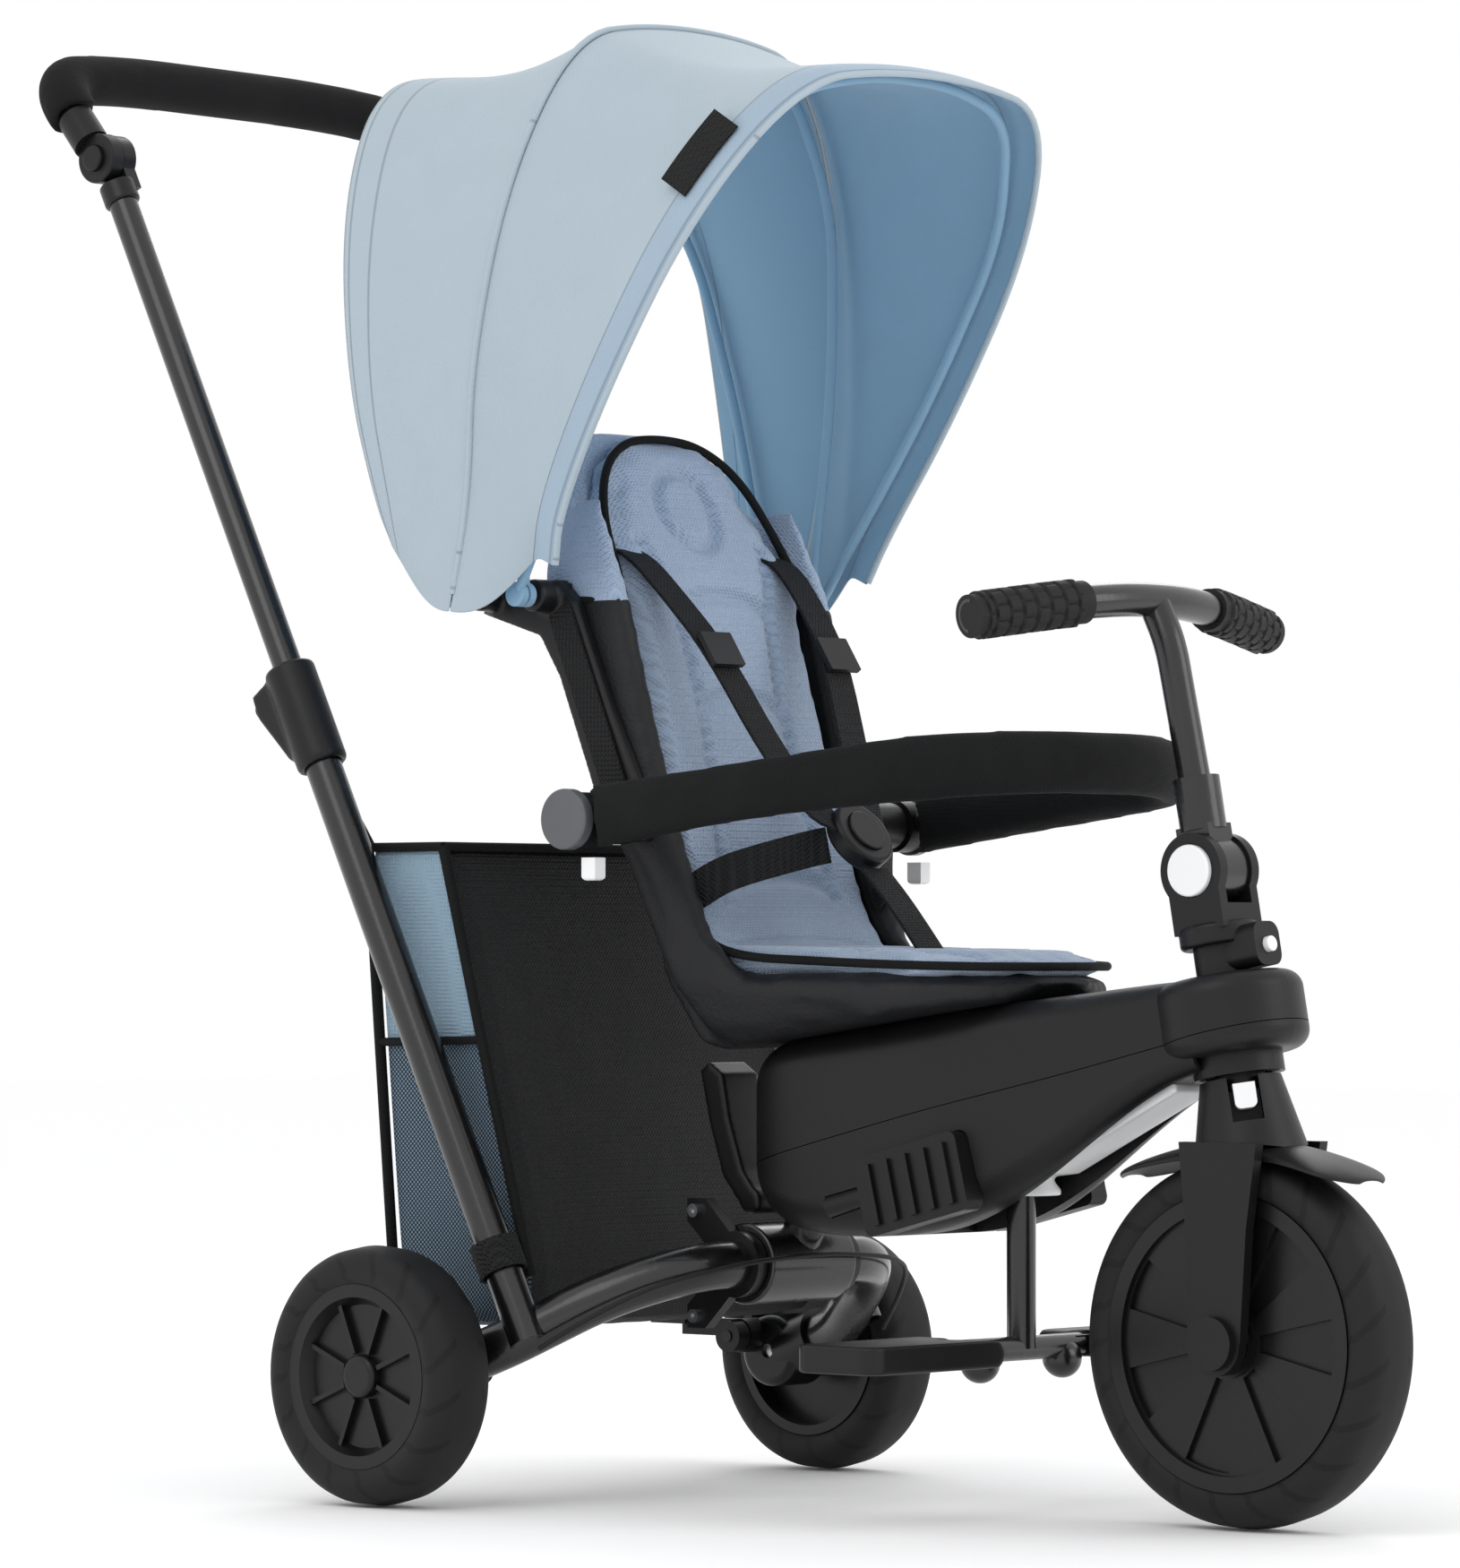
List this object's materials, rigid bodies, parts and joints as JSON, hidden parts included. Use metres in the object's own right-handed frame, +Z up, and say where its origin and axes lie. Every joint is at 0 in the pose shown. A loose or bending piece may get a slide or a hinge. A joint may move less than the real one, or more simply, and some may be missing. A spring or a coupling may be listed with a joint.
{
  "type": "children's push tricycle",
  "caption": "Folding push tricycle: canopy, harness seat, safety bar, telescopic parent handle, storage bag and folding handlebar.",
  "frame": {"origin": "on the ground under the middle of the whole object", "axes": "+X forward, +Y to the rider's left, +Z up"},
  "size_m": [1.0672, 0.5, 1],
  "materials": {
    "black_paint": "gloss",
    "black_plastic": "matte",
    "foam": "matte",
    "tyre": "matte",
    "blue_fabric": "matte",
    "black_fabric": "matte",
    "webbing": "matte",
    "white_plastic": "satin",
    "grey_plastic": "satin",
    "steel": "satin",
    "rubber": "matte",
    "bush": "satin"
  },
  "bodies": {
    "rear_frame": {"rear_arc_tube": "black_paint", "push_tubes_lower": "black_paint", "wheel_knuckles": "black_plastic", "rear_axles": "steel", "hinge_clamp": "black_plastic", "clamp_screws": "steel", "tube_collars": "black_plastic", "storage_bag": "black_fabric", "brake_cable": "rubber"},
    "collar_button_right": {"collar_button_right": "black_plastic"},
    "collar_button_left": {"collar_button_left": "black_plastic"},
    "brake_lever": {"brake_lever": "black_plastic"},
    "rear_wheel_left": {"tyre_rear_left": "tyre", "rim_rear_left": "black_plastic"},
    "rear_wheel_right": {"tyre_rear_right": "tyre", "rim_rear_right": "black_plastic"},
    "push_handle": {"push_tubes_upper": "black_paint", "handle_sockets": "black_plastic"},
    "handle_grip": {"handle_tube": "black_plastic", "handle_foam": "foam"},
    "handle_button_right": {"handle_button_right": "black_plastic"},
    "handle_button_left": {"handle_button_left": "black_plastic"},
    "chassis": {"main_frame_tube": "black_paint", "chassis_upper_shell": "black_plastic", "chassis_lower_shell": "black_plastic", "headset_bushes": "bush", "underside_plate": "white_plastic", "stowed_pedals": "black_plastic", "footrest_post": "black_paint", "seat_shell": "foam", "seat_liner": "blue_fabric", "harness_straps": "webbing", "harness_hardware": "black_plastic", "seat_carriers": "black_plastic", "canopy_bow_rear": "black_plastic"},
    "fold_lever": {"fold_lever": "black_plastic"},
    "buckle_button": {"buckle_button": "black_plastic"},
    "footrest_pad_right": {"footrest_pad_right": "black_plastic"},
    "footrest_pad_left": {"footrest_pad_left": "black_plastic"},
    "canopy_middle": {"canopy_bow_middle": "black_plastic", "canopy_panel_rear": "blue_fabric"},
    "canopy_front": {"canopy_bow_front": "black_plastic", "canopy_panel_front": "blue_fabric"},
    "safety_bar": {"safety_bar_core": "black_plastic", "safety_bar_cover": "black_fabric", "safety_bar_caps": "grey_plastic"},
    "release_tab_right": {"release_tab_right": "white_plastic"},
    "release_tab_left": {"release_tab_left": "white_plastic"},
    "steering": {"fork": "black_plastic", "mudguard": "black_plastic", "steering_column": "black_plastic", "front_axle": "black_plastic"},
    "clutch_tab": {"clutch_tab": "white_plastic"},
    "steering_lock_button": {"steering_lock_button": "white_plastic"},
    "front_wheel": {"tyre_front": "tyre", "rim_front": "black_plastic"},
    "handlebar": {"stem": "black_paint", "handlebar_tube": "black_paint", "handlebar_grips": "rubber"},
    "bar_fold_button": {"bar_fold_button": "white_plastic"}
  },
  "joints": [
    {"name": "collar_button_right_press", "type": "slide", "parent": "rear_frame", "child": "collar_button_right", "axis": [0.8949, 0, 0.4462], "range_m": [0, 0.002], "stiffness_N_per_m": 400},
    {"name": "collar_button_left_press", "type": "slide", "parent": "rear_frame", "child": "collar_button_left", "axis": [0.8949, 0, 0.4462], "range_m": [0, 0.002], "stiffness_N_per_m": 400},
    {"name": "brake_lever_hinge", "type": "hinge", "parent": "rear_frame", "child": "brake_lever", "pos_m": [-0.14435, 0.155, 0.096], "axis": [0, -1, 0], "range_deg": [0, 18], "stiffness_Nm_per_rad": 1},
    {"name": "rear_wheel_left_spin", "type": "hinge", "parent": "rear_frame", "child": "rear_wheel_left", "pos_m": [-0.13035, 0.225, 0.0853], "axis": [0, 1, 0], "continuous": true},
    {"name": "rear_wheel_right_spin", "type": "hinge", "parent": "rear_frame", "child": "rear_wheel_right", "pos_m": [-0.13035, -0.225, 0.0853], "axis": [0, 1, 0], "continuous": true},
    {"name": "push_handle_slide", "type": "slide", "parent": "rear_frame", "child": "push_handle", "axis": [-0.4462, 0, 0.8949], "range_m": [-0.27, 0]},
    {"name": "handle_tilt", "type": "hinge", "parent": "push_handle", "child": "handle_grip", "pos_m": [-0.44965, 0, 0.9148], "axis": [0, 1, 0], "range_deg": [-40, 70]},
    {"name": "handle_button_right_press", "type": "slide", "parent": "handle_grip", "child": "handle_button_right", "axis": [0, 1, 0], "range_m": [0, 0.002], "stiffness_N_per_m": 400},
    {"name": "handle_button_left_press", "type": "slide", "parent": "handle_grip", "child": "handle_button_left", "axis": [0, -1, 0], "range_m": [0, 0.002], "stiffness_N_per_m": 400},
    {"name": "chassis_fold", "type": "hinge", "parent": "rear_frame", "child": "chassis", "pos_m": [0.02765, 0, 0.157], "axis": [0, 1, 0], "range_deg": [0, 70], "deforming": ["brake_cable"]},
    {"name": "fold_lever_pull", "type": "hinge", "parent": "chassis", "child": "fold_lever", "pos_m": [0.01165, 0, 0.198], "axis": [0, -1, 0], "range_deg": [0, 8], "stiffness_Nm_per_rad": 2},
    {"name": "buckle_button_press", "type": "slide", "parent": "chassis", "child": "buckle_button", "axis": [-0.829, 0, -0.5593], "range_m": [0, 0.002], "stiffness_N_per_m": 400},
    {"name": "footrest_pad_right_fold", "type": "hinge", "parent": "chassis", "child": "footrest_pad_right", "pos_m": [0.23065, -0.066, 0.107], "axis": [-1, 0, 0], "range_deg": [0, 72]},
    {"name": "footrest_pad_left_fold", "type": "hinge", "parent": "chassis", "child": "footrest_pad_left", "pos_m": [0.23065, 0.066, 0.107], "axis": [1, 0, 0], "range_deg": [0, 72]},
    {"name": "canopy_middle_fold", "type": "hinge", "parent": "chassis", "child": "canopy_middle", "pos_m": [-0.07535, 0, 0.6], "axis": [0, -1, 0], "range_deg": [0, 22], "deforming": ["canopy_panel_rear"]},
    {"name": "canopy_front_fold", "type": "hinge", "parent": "canopy_middle", "child": "canopy_front", "pos_m": [-0.07535, 0, 0.6], "axis": [0, -1, 0], "range_deg": [0, 22], "deforming": ["canopy_panel_front"]},
    {"name": "safety_bar_lift", "type": "hinge", "parent": "chassis", "child": "safety_bar", "pos_m": [-0.00835, 0, 0.45], "axis": [0, -1, 0], "range_deg": [0, 55]},
    {"name": "release_tab_right_press", "type": "slide", "parent": "safety_bar", "child": "release_tab_right", "axis": [0, 0, 1], "range_m": [0, 0.003], "stiffness_N_per_m": 400},
    {"name": "release_tab_left_press", "type": "slide", "parent": "safety_bar", "child": "release_tab_left", "axis": [0, 0, 1], "range_m": [0, 0.003], "stiffness_N_per_m": 400},
    {"name": "steering_turn", "type": "hinge", "parent": "chassis", "child": "steering", "pos_m": [0.40965, 0, 0.28], "axis": [-0.1805, 0, 0.9836], "range_deg": [-40, 40]},
    {"name": "clutch_tab_slide", "type": "slide", "parent": "steering", "child": "clutch_tab", "axis": [-0.1805, 0, 0.9836], "range_m": [-0.006, 0]},
    {"name": "steering_lock_press", "type": "slide", "parent": "steering", "child": "steering_lock_button", "axis": [-0.9836, 0, -0.1805], "range_m": [0, 0.002], "stiffness_N_per_m": 400},
    {"name": "front_wheel_spin", "type": "hinge", "parent": "steering", "child": "front_wheel", "pos_m": [0.41565, 0, 0.118], "axis": [0, 1, 0], "continuous": true},
    {"name": "handlebar_fold", "type": "hinge", "parent": "steering", "child": "handlebar", "pos_m": [0.38492, 0, 0.41475], "axis": [0, 1, 0], "range_deg": [0, 95]},
    {"name": "bar_fold_button_press", "type": "slide", "parent": "steering", "child": "bar_fold_button", "axis": [0, 1, 0], "range_m": [0, 0.002], "stiffness_N_per_m": 400}
  ],
  "couplings": [
    {"joint": "canopy_front_fold", "follows": "canopy_middle_fold", "ratio": 1}
  ]
}
